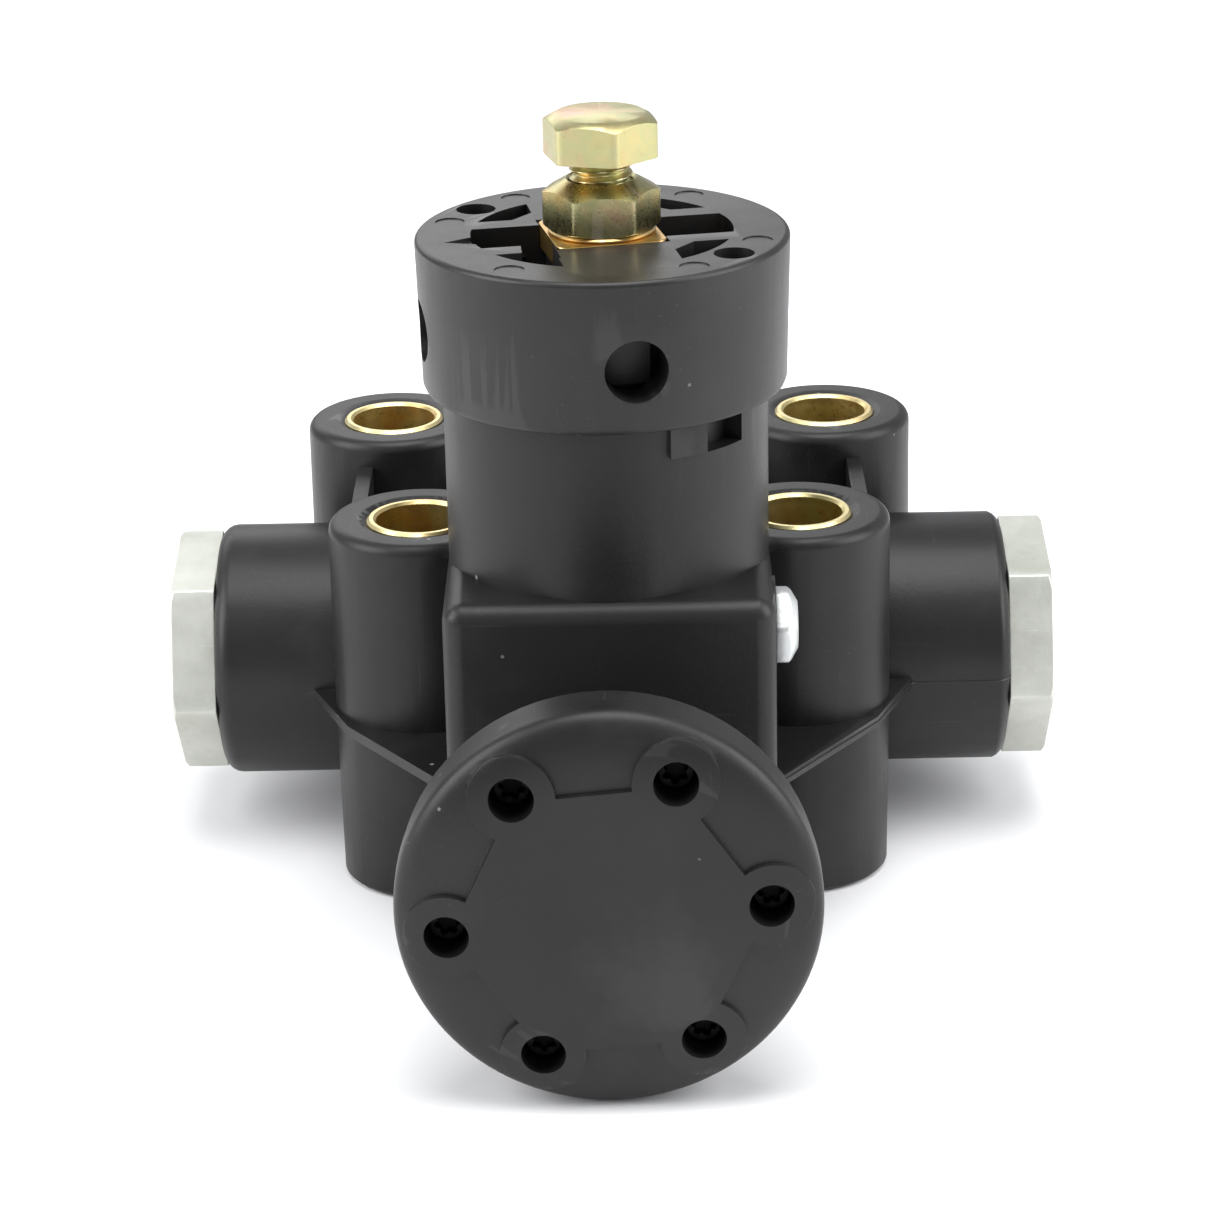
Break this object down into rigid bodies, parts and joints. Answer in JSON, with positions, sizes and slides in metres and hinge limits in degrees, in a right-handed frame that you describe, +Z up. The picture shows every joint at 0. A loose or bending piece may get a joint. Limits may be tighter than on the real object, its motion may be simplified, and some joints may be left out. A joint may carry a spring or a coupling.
{
  "type": "flow control valve",
  "caption": "Spring-set air flow control valve: black moulded body with opposed hexagon ports, bolt-through posts, round front cover and a screw-adjusted tower.",
  "frame": {"origin": "middle of the footprint, on the plane that the bolt posts stand on", "axes": "+X along the ports towards the right one, +Y from the round front cover to the back, +Z up along the tower"},
  "size_m": [0.1192, 0.1248, 0.1069],
  "materials": {
    "black_plastic": "black satin moulded nylon with glass fibre",
    "cap_plastic": "black satin moulded nylon, finely scuffed",
    "yellow_zinc": "yellow passivated zinc on steel, iridescent",
    "sleeve_steel": "rolled steel sleeve, yellow passivated",
    "adapter_aluminium": "pale grey drawn aluminium, tumbled",
    "plug_aluminium": "bright pale aluminium",
    "dark_steel": "black oiled steel",
    "bright_steel": "bright steel",
    "spring_steel": "spring wire",
    "brass": "turned brass",
    "seal_rubber": "black nitrile rubber"
  },
  "bodies": {
    "housing": {"body": "black_plastic", "front_cover": "black_plastic", "cover_screws": "dark_steel", "side_plug": "plug_aluminium", "diaphragm": "seal_rubber", "guide_bush": "brass", "spindle_seal": "seal_rubber", "valve_seat": "brass", "return_spring": "spring_steel", "rear_plug": "adapter_aluminium", "rear_plug_seal": "seal_rubber", "pilot_seat": "brass", "pilot_spring": "spring_steel", "port_adapter_left": "adapter_aluminium", "port_adapter_right": "adapter_aluminium", "adapter_seal_left": "seal_rubber", "adapter_seal_right": "seal_rubber", "sleeve_front_left": "sleeve_steel", "sleeve_front_right": "sleeve_steel", "sleeve_rear_left": "sleeve_steel", "sleeve_rear_right": "sleeve_steel"},
    "cap": {"adjuster_cap": "cap_plastic", "square_nut": "yellow_zinc", "control_spring": "spring_steel"},
    "spring_seat": {"upper_spring_seat": "bright_steel"},
    "bolt": {"adjusting_bolt": "yellow_zinc"},
    "washer": {"lock_washer": "yellow_zinc"},
    "nut": {"lock_nut": "yellow_zinc"},
    "piston": {"pilot_piston": "adapter_aluminium", "piston_seal": "seal_rubber"},
    "ball": {"pilot_ball": "bright_steel"},
    "spindle": {"main_spindle": "bright_steel", "main_poppet": "brass", "poppet_seal": "seal_rubber", "spindle_nut": "bright_steel", "diaphragm_plate_front": "bright_steel", "diaphragm_plate_rear": "bright_steel"}
  },
  "joints": [
    {"name": "cap_turn", "type": "hinge", "parent": "housing", "child": "cap", "pos_m": [0, -0.0051, 0.08], "axis": [0, 0, 1], "range_deg": [0, 38]},
    {"name": "seat_travel", "type": "slide", "parent": "cap", "child": "spring_seat", "axis": [0, 0, 1], "range_m": [-0.002, 0.004], "deforming": ["control_spring"]},
    {"name": "bolt_turn", "type": "hinge", "parent": "spring_seat", "child": "bolt", "pos_m": [0, -0.0051, 0.1], "axis": [0, 0, 1], "range_deg": [-577, 1153]},
    {"name": "nut_lift", "type": "slide", "parent": "cap", "child": "washer", "axis": [0, 0, 1], "range_m": [0, 0.001]},
    {"name": "nut_turn", "type": "hinge", "parent": "washer", "child": "nut", "pos_m": [0, -0.0051, 0.095], "axis": [0, 0, 1], "range_deg": [-0.5, 289]},
    {"name": "piston_travel", "type": "slide", "parent": "housing", "child": "piston", "axis": [0, 0, 1], "range_m": [-0.001, 0], "deforming": ["control_spring"]},
    {"name": "ball_travel", "type": "slide", "parent": "housing", "child": "ball", "axis": [0, 0, 1], "range_m": [-0.001, 0], "deforming": ["pilot_spring"]},
    {"name": "spindle_travel", "type": "slide", "parent": "housing", "child": "spindle", "axis": [0, 1, 0], "range_m": [0, 0.0025], "deforming": ["return_spring", "diaphragm"]}
  ],
  "couplings": [
    {"joint": "bolt_turn", "follows": "seat_travel", "rad_per_m": 5026.5},
    {"joint": "nut_turn", "follows": "nut_lift", "rad_per_m": 5026.5},
    {"joint": "ball_travel", "follows": "piston_travel", "ratio": 1}
  ]
}
